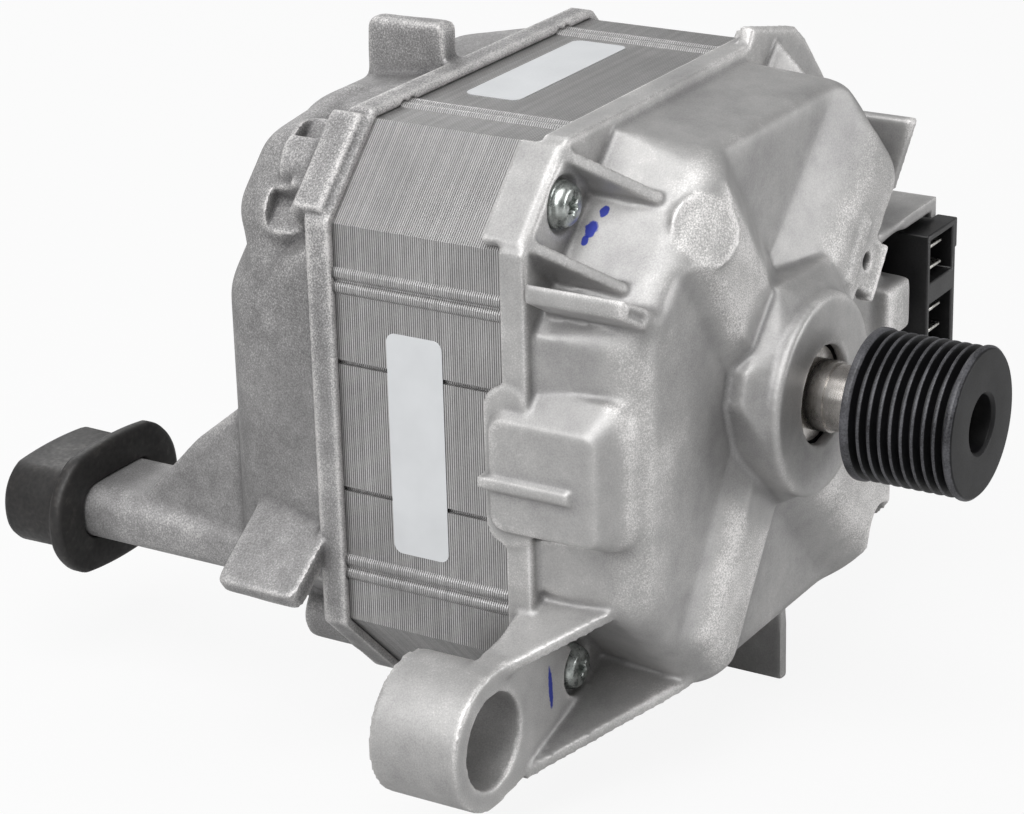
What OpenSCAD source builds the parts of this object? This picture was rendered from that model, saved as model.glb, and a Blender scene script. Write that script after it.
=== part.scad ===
// Belt-drive motor of a front-loading washing machine.
// X is across the motor, Y runs along the shaft with the pulley towards -Y, and Z is up.
// The origin lies on the shaft axis, in the middle plane of the belt on the pulley.

/* [Lamination stack] */
// Width and height of the square stator lamination
core_size = 120; // [116:1:124]
// Corner chamfer of the lamination, along each side
core_chamfer = 17; // [16:0.5:18]
// Length of the stator stack
core_len = 42; // [38:1:50]
// Radius of the stator bore
bore_r = 34.2; // [33:0.1:35]
// Number of stator slots, one coil on each tooth
slot_count = 12; // [9:3:12]
// Radius at the bottom of the slots
slot_r = 51; // [49:0.5:52]
// Width of a stator tooth
tooth_w = 8; // [7:0.5:9]
// Radial thickness of the tooth tips
tip_t = 2; // [1.5:0.25:2.5]
// Gap between two tooth tips
slot_mouth = 3; // [2:0.5:4]
// Distance of each pair of weld ribs from the middle of a face
rib_offset = 31.2; // [28:0.2:33]
// Radius of a weld rib
rib_r = 1.5; // [1.2:0.1:1.7]
// Height of a weld rib above the face
rib_h = 0.8; // [0.6:0.1:1]
// Distance of the two seams from the middle of a side face
seam_offset = 13.8; // [10:0.2:18]
// Width and depth of a seam
seam_w = 1; // [0.6:0.1:1.4]

/* [Winding] */
// Thickness of the moulded insulator on each end of the stack
insulator_t = 1.5; // [1:0.1:2]
// Height of the insulator's outer wall above its plate
insulator_wall = 7; // [6:0.5:8]
// Build of a coil over the end of its tooth
coil_end = 5; // [3:0.5:6]
// Clearance between a coil and its neighbours
coil_gap = 0.6; // [0.4:0.1:1]

/* [Rotor] */
// Gap between rotor and stator
air_gap = 0.7; // [0.5:0.1:0.9]
// Length of the rotor stack
rotor_len = 44; // [40:1:46]
// Number of magnets
magnet_count = 8; // [6:2:8]
// Width of a magnet across the shaft
magnet_w = 18; // [14:1:20]
// Thickness of a magnet
magnet_t = 4; // [3:0.5:5]
// Thickness of the discs that close the magnet slots
end_disc_t = 1.5; // [1:0.25:2]

/* [Shaft and bearings] */
// Radius of the shaft inside the rotor
shaft_core_r = 9; // [8.5:0.25:10]
// Radius of the shaft at the front bearing
shaft_front_r = 7.5; // [7:0.25:8]
// Radius of the shaft between nose and pulley
shaft_nose_r = 7; // [6.5:0.25:7]
// Radius of the shaft inside the pulley
shaft_pulley_r = 6; // [5:0.25:6.25]
// Radius of the shaft at the rear bearing
shaft_rear_r = 6; // [5:0.25:6.5]
// Outer radius of the front bearing
front_bearing_r = 17.5; // [17:0.25:18]
// Width of the front bearing
front_bearing_w = 11; // [10:0.5:12]
// Outer radius of the rear bearing
rear_bearing_r = 16; // [15:0.25:16.5]
// Width of the rear bearing
rear_bearing_w = 10; // [9:0.5:11]
// Radius of a bearing ball
ball_r = 2.98; // [2.7:0.02:3.1]
// Balls in each bearing
ball_count = 8; // [7:1:8]
// Free space round a ball in its race
ball_play = 0.05; // [0.04:0.01:0.08]

/* [Pulley] */
// Number of V grooves
groove_count = 9; // [8:1:10]
// Distance from groove to groove
groove_pitch = 2.34; // [2.3:0.01:2.4]
// Depth of a groove
groove_depth = 2.1; // [1.8:0.1:2.3]
// Outer radius of the ribs between the grooves
pulley_r = 15.6; // [15:0.1:17]
// Width of the plain rim at each end of the pulley
pulley_rim = 1.5; // [1:0.25:2]
// How far the shaft end lies inside the pulley's front face
shaft_recess = 4.5; // [3:0.5:6]
// Distance from the nose of the front shield to the pulley
pulley_gap = 10.6; // [8:0.2:14]

/* [Front shield] */
// Distance from the stack to the flat front of the shield
front_depth = 31; // [30:0.5:34]
// Length of the round nose in front of it
nose_len = 7.4; // [6:0.2:9]
// Radius of the nose
nose_r = 21.5; // [21:0.25:23]
// Radius of the hole in the nose
nose_hole_r = 10.6; // [9.5:0.1:12]
// Thickness of the lip that stops the front bearing
bearing_lip = 2.5; // [2:0.25:3]
// Radius of the mounting lug's bore
lug_bore_r = 10; // [8:0.25:11]
// Wall round the mounting lug's bore
lug_wall = 4.5; // [4:0.25:6]
// Length of the mounting lug
lug_len = 20; // [16:1:24]
// Distance of the lug's bore to the left of the shaft
lug_x = 80; // [78:0.5:86]
// Distance of the lug's bore below the shaft
lug_z = 51; // [48:0.5:56]

/* [Both shields] */
// Wall of the castings
cast_wall = 3.5; // [3:0.25:4]
// How far the shield rims lap over the stack
rim_lap = 1.5; // [1:0.25:3]
// Length of the rim beyond the end of the stack
rim_len = 4.5; // [4:0.25:6]
// Thickness of the rim round the stack
rim_t = 2; // [1.5:0.25:3]
// Radius of the through bolts
bolt_r = 2.5; // [2:0.25:3]
// Distance of the bolts to each side of the shaft
bolt_x = 46.5; // [46:0.25:47]
// Distance of the bolts above and below the shaft
bolt_z = 49.5; // [49:0.25:50]
// Radius of a bolt head
bolt_head_r = 4.9; // [4.5:0.1:5.2]
// Height of a bolt head
bolt_head_h = 3.6; // [3:0.2:4]

/* [Rear shield] */
// Distance from the stack to the flat back of the shield
rear_depth = 33.5; // [33:0.25:36]
// How far the mounting arm reaches behind the shield's back
arm_len = 57; // [50:1:70]
// Width of the mounting arm
arm_w = 25; // [24:0.5:27]
// Height of the mounting arm
arm_h = 12.5; // [12:0.5:14]
// Distance of the arm to the left of the shaft
arm_x = 40; // [38:0.5:41]
// Distance of the arm below the shaft
arm_z = 38.3; // [37:0.1:40]

/* [Rubber bush] */
// Length of the rubber bush from its collar to its far end
bush_len = 19.5; // [18:0.5:26]
// Rubber round the arm
bush_wall = 4; // [3:0.25:6]
// How far the collar stands out from the bush
collar_h = 4.2; // [3:0.1:6]
// Thickness of the collar
collar_t = 3.5; // [2.5:0.25:5]

/* [Connector] */
// Number of tab positions, the third of which is blind
tab_rows = 6; // [5:1:7]
// Distance from tab to tab
tab_pitch = 5; // [5:0.1:5.1]
// Width of a tab
tab_w = 6.3; // [4.8:0.1:6.4]
// Thickness of a tab
tab_t = 0.8; // [0.6:0.1:1]
// Depth of the connector housing
plug_depth = 20; // [16:1:22]
// Width of the connector housing
plug_w = 15; // [13:0.5:16]

/* [Labels] */
// Length of the label on the side
side_label_len = 47.5; // [44:0.5:50]
// Length of the label on the top
top_label_len = 46; // [42:0.5:48]
// Width of both labels
label_w = 13; // [11:0.5:15]

/* [Hidden] */

// Places along the shaft are counted from the middle of the stack, and forwards is -Y
core_half = core_size / 2;
front_y = -core_len / 2;
rear_y = core_len / 2;
root2 = sqrt(2);
core_diag = (2 * core_half - core_chamfer) / root2;
bolt_diag = (bolt_x + bolt_z) / root2;
fit = 0.1;
nose_y = front_y - front_depth - nose_len;
front_bearing_y = nose_y + bearing_lip + front_bearing_w / 2;
back_y = rear_y + rear_depth;
washer_room = 1;
rear_bearing_y = back_y - cast_wall - washer_room - rear_bearing_w / 2;
pulley_w = groove_count * groove_pitch + 2 * pulley_rim;
pulley_y = nose_y - pulley_gap - pulley_w / 2;
rotor_r = bore_r - air_gap;

function f(d) = front_y - d;
function r(d) = rear_y + d;
function grown_cut(cut, t) = cut + t * (2 - root2);
function octagon(h, cuts) = [[-h, h - cuts[0]], [-h + cuts[0], h], [h - cuts[1], h], [h, h - cuts[1]],
    [h, -h + cuts[2]], [h - cuts[2], -h], [-h + cuts[3], -h], [-h, -h + cuts[3]]];
// A corner line is told by the sum of its distances from the shaft, across and up
function cuts_of(h, sums) = [for (s = sums) max(0.5, 2 * h - s)];

// Moves a piece from the middle of the stack to its place behind the belt plane
module at_stack() {
  translate([0, -pulley_y, 0])
    children();
}

// An outline in X and Z, made solid from y0 to y1
module slab(y0, y1) {
  translate([0, y1, 0])
    rotate([90, 0, 0])
      linear_extrude(height = y1 - y0)
        children();
}

// A profile of radius and place along the shaft, turned round the shaft
module turned(y = 0) {
  translate([0, y, 0])
    rotate([-90, 0, 0])
      rotate_extrude($fn = 96)
        children();
}

// A round bar along Y
module bar(x, z, radius, y0, y1) {
  translate([x, y0, z])
    rotate([-90, 0, 0])
      cylinder(r = radius, h = y1 - y0, $fn = 64);
}

// A round bar from one point to another
module rod(a, b, radius) {
  d = b - a;
  translate(a)
    rotate([0, acos(d.z / norm(d)), atan2(d.y, d.x)])
      cylinder(r = radius, h = norm(d), $fn = 64);
}

// A flat web that stands on the line a to b of the X and Z plane, from y_base out to its free
// edge, which runs from y_a to y_b
module web(a, b, y_base, y_a, y_b, thick) {
  reach = norm(b - a);
  translate([a.x, 0, a.y])
    rotate([0, -atan2(b.y - a.y, b.x - a.x), 0])
      translate([0, 0, -thick / 2])
        linear_extrude(height = thick)
          polygon([[0, y_base], [reach, y_base], [reach, y_b], [0, y_a]]);
}

// Turns a piece drawn along +X to a corner of the motor
module at_corner(sx, sz) {
  rotate([0, -atan2(sz, sx), 0])
    children();
}

module rounded_rect(w, h, radius) {
  square([w - 2 * radius, h], center = true);
  square([w, h - 2 * radius], center = true);
  for (x = [-1, 1], y = [-1, 1])
    translate([x * (w / 2 - radius), y * (h / 2 - radius)])
      circle(r = radius, $fn = 32);
}

module ring(outer, inner) {
  difference() {
    circle(r = outer, $fn = 96);
    circle(r = inner, $fn = 96);
  }
}

// Stator

// Outside of one lamination, with a pair of weld ribs near both ends of each face
module core_outline(grow = 0) {
  polygon(octagon(core_half + grow, [for (i = [0:3]) grown_cut(core_chamfer, grow)]));
  for (side = [0:3], end = [-1, 1], twin = [-1, 1])
    rotate(90 * side)
      translate([end * rib_offset + twin * rib_r, core_half + rib_h - rib_r])
        circle(r = rib_r + grow, $fn = 32);
}

// The iron between two slots and inside the yoke: teeth with their tips
module teeth_outline(width, tip_r) {
  for (i = [0:slot_count - 1])
    rotate(i * 360 / slot_count)
      translate([bore_r, -width / 2])
        square([slot_r - bore_r + tip_t, width]);
  difference() {
    ring(tip_r, bore_r);
    for (i = [0:slot_count - 1])
      rotate((i + 0.5) * 360 / slot_count)
        translate([0, -slot_mouth / 2])
          square([slot_r, slot_mouth]);
  }
}

module at_bolts() {
  for (sx = [-1, 1], sz = [-1, 1])
    translate([sx * bolt_x, sz * bolt_z])
      children();
}

module stator_core() {
  color([0.56, 0.57, 0.58])
    at_stack()
      slab(front_y, rear_y)
        difference() {
          core_outline();
          difference() {
            circle(r = slot_r, $fn = 96);
            intersection() {
              teeth_outline(tooth_w, bore_r + tip_t);
              ring(slot_r + 1, bore_r);
            }
          }
          at_bolts()
            circle(r = bolt_r + 2.5 * fit, $fn = 32);
          for (side = [-1, 1], end = [-1, 1])
            translate([side * core_half, end * seam_offset])
              square([2 * seam_w, seam_w], center = true);
        }
}

// Moulded plate over the teeth and the inner yoke, with a wall that keeps the coils in
module slot_insulator() {
  wall_r = slot_r + insulator_t;
  slab(0, insulator_t)
    intersection() {
      union() {
        teeth_outline(tooth_w + 2 * fit, bore_r + tip_t);
        ring(wall_r + insulator_t, slot_r - fit);
      }
      ring(wall_r + insulator_t, bore_r + fit);
    }
  slab(insulator_t - fit, insulator_t + insulator_wall)
    ring(wall_r + insulator_t, wall_r);
}

module front_slot_insulator() {
  color([0.86, 0.84, 0.78])
    at_stack()
      translate([0, front_y, 0])
        mirror([0, 1, 0])
          slot_insulator();
}

module rear_slot_insulator() {
  color([0.86, 0.84, 0.78])
    at_stack()
      translate([0, rear_y, 0])
        slot_insulator();
}

// Half the width that a coil may have at the tips of the teeth
coil_in = bore_r + tip_t + coil_gap;
coil_half = coil_in * tan(180 / slot_count) - coil_gap;
coil_out = sqrt(pow(slot_r - coil_gap, 2) - pow(coil_half, 2));

module stator_windings() {
  color([0.72, 0.42, 0.22])
    at_stack()
      for (i = [0:slot_count - 1])
        rotate([0, -i * 360 / slot_count, 0])
          translate([coil_in, 0, 0])
            rotate([90, 0, 90])
              linear_extrude(height = coil_out - coil_in)
                difference() {
                  rounded_rect(2 * (rear_y + insulator_t + coil_end), 2 * coil_half, coil_half * 0.6);
                  square([2 * (rear_y + insulator_t) + fit, tooth_w + 4 * fit], center = true);
                }
}

// Cast shields

// Convex body of a shield: the rim's octagon at y_rim, and rounded corners near the far wall.
// dir is -1 to the front and 1 to the rear, lead is how far the rim's outline runs on towards
// the stack, and inset moves the whole skin inwards
module cast_dome(dir, y_rim, depth, rim_half, far_half, rim_sums, far_sums, round_r, lead, inset,
    faces) {
  rim_h = rim_half - inset;
  rim_line = [for (s = rim_sums) s - inset * root2];
  mid_h = far_half - round_r;
  mid_line = [for (s = far_sums) s - round_r * root2];
  hull() {
    slab(y_rim - (dir > 0 ? lead : 0.5), y_rim + (dir > 0 ? 0.5 : lead))
      polygon(octagon(rim_h, cuts_of(rim_h, rim_line)));
    for (p = octagon(mid_h, cuts_of(mid_h, mid_line)))
      translate([p.x, y_rim + dir * (depth - round_r), p.y])
        sphere(r = round_r - inset, $fn = faces);
  }
}

// Flat rim round the end of the stack, lapped over its outside
module shield_rim(y0, y1) {
  slab(y0, y1)
    polygon(octagon(core_half + rim_t, [for (i = [0:3]) grown_cut(core_chamfer, rim_t)]));
}

module bolt_channels(y0, y1, radius) {
  for (sx = [-1, 1], sz = [-1, 1])
    bar(sx * bolt_x, sz * bolt_z, radius, y0, y1);
}

// Ring behind the nose or the back wall that holds a bearing
module bearing_seat(y0, y1, seat_r) {
  slab(y0, y1)
    circle(r = seat_r + cast_wall, $fn = 96);
}

front_half = core_half - 3;
rim_half = core_half - 0.5;
front_rim_sums = [86, 88, 94, 86];
front_far_sums = [84, 92, 104, 88];
front_round = 10;
rear_rim_sums = [96, 96, 96, 96];
rear_far_sums = [82, 92, 96, 92];
rear_round = 13;
front_wall_y = f(front_depth);
gusset_t = 2.4;
valley_depth = 6;
left_valley = 3.5;
gusset_gap = 10;
seat_t = 3;
pocket_wall = 2;
hub_h = 2;
insulator_gap = 0.3;
insulator_room = slot_r + 2 * insulator_t + insulator_gap;
insulator_depth = insulator_t + insulator_wall + insulator_gap;
window_h = 7.4;
window_w = 6.5;

module front_skin(lead, inset, faces) {
  cast_dome(-1, f(rim_len - 0.5), front_depth - rim_len + 0.5, rim_half, front_half,
    front_rim_sums, front_far_sums, front_round, lead, inset, faces);
}

// Raised arms that run from the nose to the four corners of the front, with sloping flanks.
// Each is told by its angle, the widths of its foot and crest, and how far the crest lies aside
module front_arms(inset) {
  crest_y = -front_depth - 1 + inset;
  foot_y = -front_depth + valley_depth + inset;
  for (arm = [[126, 34, 9, 0], [43, 40, 9, -6], [236, 38, 9, 0], [-45, 38, 10, 0]]) {
    foot = arm[1] / 2 - inset;
    crest = arm[2] / 2 - inset / 2;
    aside = arm[3];
    rotate([0, -arm[0], 0])
      translate([0, f(0), 0])
        rotate([90, 0, 90])
          linear_extrude(height = 90)
            polygon([[0, -foot], [foot_y, -foot], [crest_y, aside - crest], [crest_y, aside + crest],
              [foot_y, foot], [0, foot]]);
  }
}

// The dome with its arms, between which the front is sunk by valley_depth, and less to the left
module front_dome(lead, inset, faces) {
  intersection() {
    front_skin(lead, inset, faces);
    union() {
      front_arms(inset);
      slab(f(front_depth - valley_depth - inset), f(-1))
        square(4 * core_half, center = true);
      slab(f(front_depth - left_valley - inset), f(-1))
        polygon([[0, 0], 100 * [cos(126), sin(126)], [-100, 0], 100 * [cos(236), sin(236)]]);
    }
  }
}

// Pedestal between the flat front and the round nose, with a blunt point to the left
module nose_pedestal() {
  foot = [[-24, 4], [-22, 11], [-8, 25], [16, 24], [26, 10], [25, -12], [12, -25], [-7, -23],
    [-20, -8]];
  hull() {
    slab(front_wall_y - 0.5, front_wall_y + valley_depth + 1)
      polygon(foot);
    slab(nose_y + 2.6, nose_y + 3.6)
      circle(r = nose_r, $fn = 32);
  }
  turned()
    polygon([[0, nose_y], [nose_r - 0.8, nose_y], [nose_r, nose_y + 0.8], [nose_r, front_wall_y + 4],
      [0, front_wall_y + 4]]);
}

// Seat of a through bolt: a wall over the stack's chamfer and a gusset at each end of it
module bolt_bracket(far_sum) {
  strip_out = core_diag + rim_t + 0.6;
  wall_diag = far_sum / root2 - 2;
  translate([0, 0, -gusset_gap - gusset_t / 2])
    linear_extrude(height = 2 * gusset_gap + gusset_t)
      polygon([[core_diag + fit, f(-5.8)], [strip_out, f(-5.8)], [strip_out, f(seat_t)],
        [core_diag - 1, f(seat_t)], [core_diag - 1, f(0)], [core_diag + fit, f(0)]]);
  for (end = [-1, 1])
    translate([0, 0, end * gusset_gap - gusset_t / 2])
      linear_extrude(height = gusset_t)
        polygon([[wall_diag, f(1)], [strip_out, f(1)], [strip_out, f(seat_t)],
          [wall_diag + 2, f(20)], [wall_diag - 3, f(20)]]);
}

// Raised box on the left wall that gives the winding's leads room, with a flange on the stack
module lead_box() {
  hull() {
    translate([-core_half + 1, f(10.5), -0.2])
      rotate([0, 90, 0])
        linear_extrude(height = 3)
          rounded_rect(31, 30.5, 5);
    translate([-core_half - 4.2, f(8.6), -2])
      rotate([0, 90, 0])
        linear_extrude(height = 1)
          rounded_rect(23, 24, 3);
  }
  translate([-core_half - 2.4, f(-0.5), -0.7])
    rotate([0, 90, 0])
      linear_extrude(height = 2.4 - fit)
        rounded_rect(33.5, 10, 4.5);
  translate([-core_half - 5.4, f(15), -4.8])
    cube([3.2, 20.5, 2.4]);
}

// Sloping guide bar above the box, with a pocket in its front end
module guide_bar() {
  difference() {
    slab(f(28), f(6))
      polygon([[-core_half - 5, 39.4], [-core_half - 5, 35.6], [-48, 26], [-48, 31]]);
    slab(f(30), f(20))
      polygon([[-core_half - 3.6, 37.4], [-core_half - 3.6, 36], [-56, 31.8], [-56, 33.5]]);
  }
}

// Lug that hangs the motor on the tub, with its neck and two long webs
module mounting_lug() {
  lug_r = lug_bore_r + lug_wall;
  neck_y = f(rim_len + 1.5);
  lug = [-lug_x, -lug_z];
  bar(-lug_x, -lug_z, lug_r, neck_y, neck_y + lug_len);
  slab(neck_y, f(0))
    polygon([lug + lug_r * [cos(105), sin(105)], [-core_half + 2, -34], [-44, -50],
      [-42, -core_half - 1], lug + lug_r * [cos(-75), sin(-75)]]);
  web(lug + [4.2, lug_r - 1.6], [-48.4, -27], f(1), neck_y, f(26.6), gusset_t);
  web(lug + [12, -13], [-30, -52], f(1), neck_y, f(28.3), gusset_t);
}

// Fins, corner plate and shelf of the side that faces away
module front_fins() {
  web([17, -core_half + 6], [17, -76], f(1), f(21), f(21), 3);
  web([core_half - 0.5, 25], [core_half - 0.5, 42], f(1), f(25.6), f(30.7), 3);
  slab(f(rim_len), f(1.5))
    polygon([[31, core_half], [33.5, core_half + 5.5], [54, 60.8], [59, 57], [70.6, 43.8],
      [core_half, 32], [50, 48]]);
  translate([50, f(27), 15])
    cube([30, 26, 3]);
  translate([77.5, f(27), 13.5])
    cube([2.5, 20, 3]);
  translate([50, f(29.5), -7])
    cube([12.5, 10, 12.5]);
}

earth_x = 35.5;
earth_z = 17;
earth_depth = 22;

// Small screw pad up and to the right of the nose, between a bar and a thin rib
module earth_pad() {
  y = front_wall_y - 0.5;
  slope = 53;
  translate([earth_x, y, earth_z])
    rotate([0, -slope, 0]) {
      translate([-7.5, 0, 4.2])
        cube([15, 4, 4]);
      translate([-7, -0.3, -7.2])
        cube([13, 4, 1.6]);
      translate([-6, 0.7, -6])
        cube([12, 4, 11]);
    }
}

module front_shield() {
  color([0.74, 0.74, 0.73])
    at_stack()
      difference() {
        union() {
          front_dome(0.5, 0, 28);
          shield_rim(f(rim_len), f(-rim_lap));
          nose_pedestal();
          // round pad on the upper left corner of the front
          rod([-24, f(14), 36.5], [-33.4, f(28.6), 43.9], 7.5);
          for (c = [[-1, 1, 0], [1, 1, 1], [1, -1, 2]])
            at_corner(c.x, c.y)
              bolt_bracket(front_rim_sums[c.z]);
          lead_box();
          guide_bar();
          mounting_lug();
          front_fins();
          earth_pad();
        }
        difference() {
          union() {
            front_dome(rim_len + 1.2, cast_wall, 20);
            // hollow of the lead box
            translate([-core_half - 1, f(18), -16])
              cube([8, 14, 24]);
            bar(0, 0, insulator_room, f(insulator_depth), f(-fit));
          }
          bearing_seat(nose_y, front_bearing_y + front_bearing_w / 2 + 1, front_bearing_r);
          bar(earth_x, earth_z, 4.5, f(29), f(earth_depth - 2));
          // walls of the pockets in front of the bolt heads
          bolt_channels(f(29), f(0), bolt_head_r + 1 + pocket_wall);
        }
        slab(f(0), f(-40))
          core_outline(fit);
        turned()
          polygon([[0, nose_y - 1], [nose_hole_r, nose_y - 1], [nose_hole_r, nose_y + bearing_lip],
            [front_bearing_r, nose_y + bearing_lip], [front_bearing_r, f(0)], [0, f(0)]]);
        bolt_channels(f(30), f(-1), bolt_r + 3 * fit);
        bolt_channels(f(60), f(seat_t), bolt_head_r + 1);
        bar(-lug_x, -lug_z, lug_bore_r, f(60), f(-60));
        bar(earth_x, earth_z, 2, f(60), f(earth_depth));
      }
}

// Rear shield

module rear_skin(lead, inset, faces) {
  cast_dome(1, r(rim_len - 0.5), rear_depth - rim_len + 0.5, rim_half, front_half,
    rear_rim_sums, rear_far_sums, rear_round, lead, inset, faces);
}

// Flat tab with rounded free corners, as long along the shaft as it is in the wall below it
module clip_tab(y0, length, reach, thick) {
  translate([0, y0, -thick / 2])
    linear_extrude(height = thick) {
      square([reach - 2, length]);
      translate([0, 2])
        square([reach, length - 4]);
      for (y = [2, length - 2])
        translate([reach - 2, y])
          circle(r = 2, $fn = 32);
    }
}

// Arm with its broad root, which carries the rubber bush
module rear_arm() {
  root_top = -6;
  hull() {
    slab(back_y - 4, back_y - 1)
      polygon([[-52, -arm_z - 5], [-49, root_top], [-35, root_top], [-28, -arm_z - 5]]);
    translate([-arm_x - 8, back_y + 11, -arm_z + 20])
      cube([5, 1, 2]);
    translate([-arm_x - 9, back_y + 25, -arm_z + 3])
      cube([8, 1, 4]);
  }
  translate([-arm_x, 0, -arm_z])
    slab(back_y - 6, back_y + arm_len)
      rounded_rect(arm_w, arm_h, 5);
}

// Raised strip on the upper left corner, and the round block behind it that holds the bolt
module rear_corner_block() {
  length = 2 * gusset_gap + gusset_t;
  translate([0, 0, -length / 2])
    linear_extrude(height = length)
      polygon([[58, r(0)], [core_diag + 3.5, r(0)], [core_diag + 3.5, r(7)], [core_diag + 1, r(8)],
        [core_diag, r(12)], [58, r(12)]]);
  hull() {
    translate([58, r(7), -length / 2])
      cube([core_diag - 58, 1, length]);
    for (end = [-1, 1])
      translate([bolt_diag - 9, r(19), end * 4.6])
        sphere(r = 10.7, $fn = 28);
  }
}

module rear_windows() {
  for (end = [-1, 1])
    translate([core_diag - 6, r(9.5), end * 10 - window_h / 2])
      cube([12, window_w, window_h]);
}

module rear_shield() {
  color([0.62, 0.62, 0.61])
    at_stack()
      difference() {
        union() {
          rear_skin(0.5, 0, 28);
          shield_rim(r(-rim_lap), r(rim_len));
          at_corner(-1, 1)
            rear_corner_block();
          for (sx = [-1, 1], sz = [-1, 1])
            bar(sx * bolt_x, sz * bolt_z, bolt_r + 4, r(0), r(16));
          // low hub behind the bearing seat
          turned()
            polygon([[0, back_y - 2], [24, back_y - 2], [23, back_y - 0.6], [20, back_y + hub_h - 0.6],
              [19, back_y + hub_h], [0, back_y + hub_h]]);
          // hook tab on the top and clip tab on the lower left
          translate([-5, 0, core_half - 5])
            rotate([0, -90, 0])
              clip_tab(r(5), 19.5, 14.8, 5);
          translate([-55, 0, -23])
            rotate([0, -(180 + 35), 0])
              clip_tab(r(3), 20, 22, 4.5);
          rear_arm();
        }
        difference() {
          union() {
            rear_skin(rim_len + 1.2, cast_wall, 20);
            bar(0, 0, insulator_room, r(-fit), r(insulator_depth));
          }
          for (sx = [-1, 1], sz = [-1, 1])
            bar(sx * bolt_x, sz * bolt_z, bolt_r + 4, r(0), r(16));
          bearing_seat(rear_bearing_y - rear_bearing_w / 2 - 1, back_y, rear_bearing_r);
        }
        slab(r(-40), r(0))
          core_outline(fit);
        turned()
          polygon([[0, r(0)], [rear_bearing_r, r(0)], [rear_bearing_r, back_y - cast_wall],
            [0, back_y - cast_wall]]);
        bolt_channels(r(-1), r(13), bolt_r);
        at_corner(-1, 1)
          rear_windows();
      }
}

// Fasteners

// Pan head with a star recess, and the shank through the stack into the rear shield
module through_bolts() {
  seat_y = f(seat_t);
  color([0.78, 0.79, 0.8])
    at_stack()
      for (sx = [-1, 1], sz = [-1, 1])
        translate([sx * bolt_x, 0, sz * bolt_z])
          difference() {
            turned()
              polygon(concat([[0, r(12)], [bolt_r - 0.5, r(12)], [bolt_r, r(11.5)], [bolt_r, seat_y],
                [bolt_head_r, seat_y], [bolt_head_r, seat_y - 0.9]],
                [for (a = [15:15:75]) [bolt_head_r - 1.6 * (1 - cos(a)) - 0.3,
                  seat_y - 1.1 - (bolt_head_h - 1.1) * sin(a)]],
                [[0, seat_y - bolt_head_h]]));
            slab(seat_y - bolt_head_h - 1, seat_y - bolt_head_h + 2) {
              circle(r = 1.6, $fn = 32);
              for (i = [0:5])
                rotate(60 * i)
                  translate([1.7, 0])
                    circle(r = 0.45, $fn = 16);
            }
          }
}

// Bearings

function pitch_r(in_r, out_r) = (in_r + out_r) / 2;
land = 0.85;

// Half of a bearing's section: the ring from r0 to r1 with a ball groove at the pitch radius
module race(y, width, r0, r1, p) {
  turned(y)
    difference() {
      translate([r0, -width / 2])
        square([r1 - r0, width]);
      translate([p, 0])
        circle(r = ball_r + ball_play, $fn = 48);
    }
}

module outer_race(y, width, in_r, out_r) {
  p = pitch_r(in_r, out_r);
  race(y, width, p + land * ball_r, out_r, p);
}

module inner_race(y, width, in_r, out_r) {
  p = pitch_r(in_r, out_r);
  race(y, width, in_r, p - land * ball_r, p);
}

module balls(y, in_r, out_r) {
  for (i = [0:ball_count - 1])
    rotate([0, i * 360 / ball_count, 0])
      translate([pitch_r(in_r, out_r), y, 0])
        sphere(r = ball_r, $fn = 32);
}

// Cage band between the lands, with a pocket round each ball
module cage(y, in_r, out_r) {
  p = pitch_r(in_r, out_r);
  difference() {
    turned(y)
      translate([p - 0.9, -ball_r - 0.6])
        square([1.8, 2 * ball_r + 1.2]);
    for (i = [0:ball_count - 1])
      translate([0, y, 0])
        rotate([0, i * 360 / ball_count + 90, 0])
          cylinder(r = ball_r + ball_play, h = p + 5, $fn = 64);
  }
}

// Two rubber shields that close a bearing and run clear of its inner ring
module seals(y, width, in_r, out_r) {
  p = pitch_r(in_r, out_r);
  for (side = [-1, 1])
    turned(y + side * (width / 2 - 0.8))
      translate([p - land * ball_r + 0.3, -0.4])
        square([2 * land * ball_r - 0.3, 0.8]);
}

steel = [0.7, 0.71, 0.72];

module front_bearing_outer_ring() {
  color(steel)
    at_stack()
      outer_race(front_bearing_y, front_bearing_w, shaft_front_r, front_bearing_r);
}

module front_bearing_inner_ring() {
  color(steel)
    at_stack()
      inner_race(front_bearing_y, front_bearing_w, shaft_front_r, front_bearing_r);
}

module front_bearing_balls() {
  color(steel)
    at_stack()
      balls(front_bearing_y, shaft_front_r, front_bearing_r);
}

module front_bearing_cage() {
  color([0.3, 0.3, 0.3])
    at_stack()
      cage(front_bearing_y, shaft_front_r, front_bearing_r);
}

module front_bearing_seals() {
  color([0.08, 0.08, 0.08])
    at_stack()
      seals(front_bearing_y, front_bearing_w, shaft_front_r, front_bearing_r);
}

module rear_bearing_outer_ring() {
  color(steel)
    at_stack()
      outer_race(rear_bearing_y, rear_bearing_w, shaft_rear_r, rear_bearing_r);
}

module rear_bearing_inner_ring() {
  color(steel)
    at_stack()
      inner_race(rear_bearing_y, rear_bearing_w, shaft_rear_r, rear_bearing_r);
}

module rear_bearing_balls() {
  color(steel)
    at_stack()
      balls(rear_bearing_y, shaft_rear_r, rear_bearing_r);
}

module rear_bearing_cage() {
  color([0.3, 0.3, 0.3])
    at_stack()
      cage(rear_bearing_y, shaft_rear_r, rear_bearing_r);
}

module rear_bearing_seals() {
  color([0.08, 0.08, 0.08])
    at_stack()
      seals(rear_bearing_y, rear_bearing_w, shaft_rear_r, rear_bearing_r);
}

// Spring washer that loads the rear bearing against the back of its seat
module wave_washer() {
  color(steel)
    at_stack()
      slab(rear_bearing_y + rear_bearing_w / 2, rear_bearing_y + rear_bearing_w / 2 + washer_room)
        ring(rear_bearing_r - 0.4, rear_bearing_r - 4);
}

// Rotor

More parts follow.
